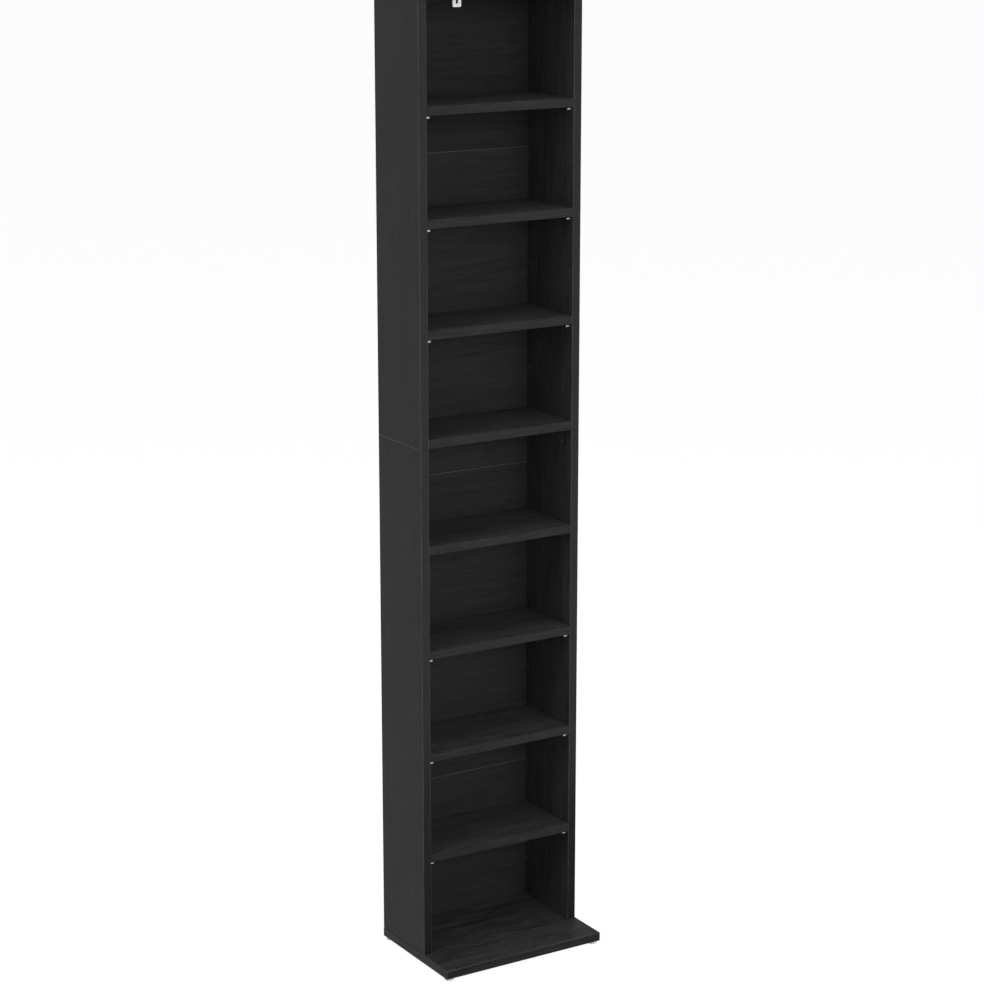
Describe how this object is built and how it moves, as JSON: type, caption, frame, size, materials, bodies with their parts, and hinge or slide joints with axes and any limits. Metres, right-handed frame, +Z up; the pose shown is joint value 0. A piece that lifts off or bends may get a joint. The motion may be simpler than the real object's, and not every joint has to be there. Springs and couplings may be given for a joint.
{
  "type": "disc storage tower",
  "caption": "Tall narrow open tower for discs on a base that stands out in front, with pinned shelves that pull out, a sheet back and an angle that ties it to a wall.",
  "frame": {"origin": "on the floor, under the middle of the overall box", "axes": "+Z up the tower's height, -Y out of its open front, +X to the right seen from the front"},
  "size_m": [0.302, 0.215, 1.5945],
  "materials": {
    "black_foil": "satin black wood-grain foil on chipboard",
    "black_hardboard": "black printed wood grain on hardboard",
    "nickel_pin": "nickel-plated steel",
    "zinc_fitting": "zinc-plated",
    "white_enamel": "white enamel",
    "grey_plastic": "moulded light grey plastic"
  },
  "bodies": {
    "carcass": {"base_panel": "black_foil", "top_panel": "black_foil", "left_side_lower": "black_foil", "left_side_upper": "black_foil", "right_side_lower": "black_foil", "right_side_upper": "black_foil", "fixed_shelf_4": "black_foil", "fixed_shelf_5": "black_foil", "back_panel_bottom": "black_hardboard", "back_panel_lower": "black_hardboard", "back_panel_upper": "black_hardboard", "back_panel_top": "black_hardboard", "shelf_pin_1_left_front": "nickel_pin", "shelf_pin_1_left_rear": "nickel_pin", "shelf_pin_1_right_front": "nickel_pin", "shelf_pin_1_right_rear": "nickel_pin", "shelf_pin_2_left_front": "nickel_pin", "shelf_pin_2_left_rear": "nickel_pin", "shelf_pin_2_right_front": "nickel_pin", "shelf_pin_2_right_rear": "nickel_pin", "shelf_pin_3_left_front": "nickel_pin", "shelf_pin_3_left_rear": "nickel_pin", "shelf_pin_3_right_front": "nickel_pin", "shelf_pin_3_right_rear": "nickel_pin", "shelf_pin_6_left_front": "nickel_pin", "shelf_pin_6_left_rear": "nickel_pin", "shelf_pin_6_right_front": "nickel_pin", "shelf_pin_6_right_rear": "nickel_pin", "shelf_pin_7_left_front": "nickel_pin", "shelf_pin_7_left_rear": "nickel_pin", "shelf_pin_7_right_front": "nickel_pin", "shelf_pin_7_right_rear": "nickel_pin", "shelf_pin_8_left_front": "nickel_pin", "shelf_pin_8_left_rear": "nickel_pin", "shelf_pin_8_right_front": "nickel_pin", "shelf_pin_8_right_rear": "nickel_pin", "shelf_cam_4_left": "zinc_fitting", "shelf_cam_4_right": "zinc_fitting", "shelf_cam_5_left": "zinc_fitting", "shelf_cam_5_right": "zinc_fitting", "top_cam_left_front": "zinc_fitting", "base_screw_left_front": "zinc_fitting", "foot_left_front": "grey_plastic", "top_cam_left_rear": "zinc_fitting", "base_screw_left_rear": "zinc_fitting", "foot_left_rear": "grey_plastic", "top_cam_right_front": "zinc_fitting", "base_screw_right_front": "zinc_fitting", "foot_right_front": "grey_plastic", "top_cam_right_rear": "zinc_fitting", "base_screw_right_rear": "zinc_fitting", "foot_right_rear": "grey_plastic", "wall_bracket": "white_enamel", "wall_bracket_screw": "zinc_fitting"},
    "adjustable_shelf_1": {"adjustable_shelf_1": "black_foil"},
    "adjustable_shelf_2": {"adjustable_shelf_2": "black_foil"},
    "adjustable_shelf_3": {"adjustable_shelf_3": "black_foil"},
    "adjustable_shelf_6": {"adjustable_shelf_6": "black_foil"},
    "adjustable_shelf_7": {"adjustable_shelf_7": "black_foil"},
    "adjustable_shelf_8": {"adjustable_shelf_8": "black_foil"}
  },
  "joints": [
    {"name": "shelf_1_slide", "type": "slide", "parent": "carcass", "child": "adjustable_shelf_1", "axis": [0, -1, 0], "range_m": [0, 0.14]},
    {"name": "shelf_2_slide", "type": "slide", "parent": "carcass", "child": "adjustable_shelf_2", "axis": [0, -1, 0], "range_m": [0, 0.14]},
    {"name": "shelf_3_slide", "type": "slide", "parent": "carcass", "child": "adjustable_shelf_3", "axis": [0, -1, 0], "range_m": [0, 0.14]},
    {"name": "shelf_6_slide", "type": "slide", "parent": "carcass", "child": "adjustable_shelf_6", "axis": [0, -1, 0], "range_m": [0, 0.14]},
    {"name": "shelf_7_slide", "type": "slide", "parent": "carcass", "child": "adjustable_shelf_7", "axis": [0, -1, 0], "range_m": [0, 0.14]},
    {"name": "shelf_8_slide", "type": "slide", "parent": "carcass", "child": "adjustable_shelf_8", "axis": [0, -1, 0], "range_m": [0, 0.14]}
  ]
}
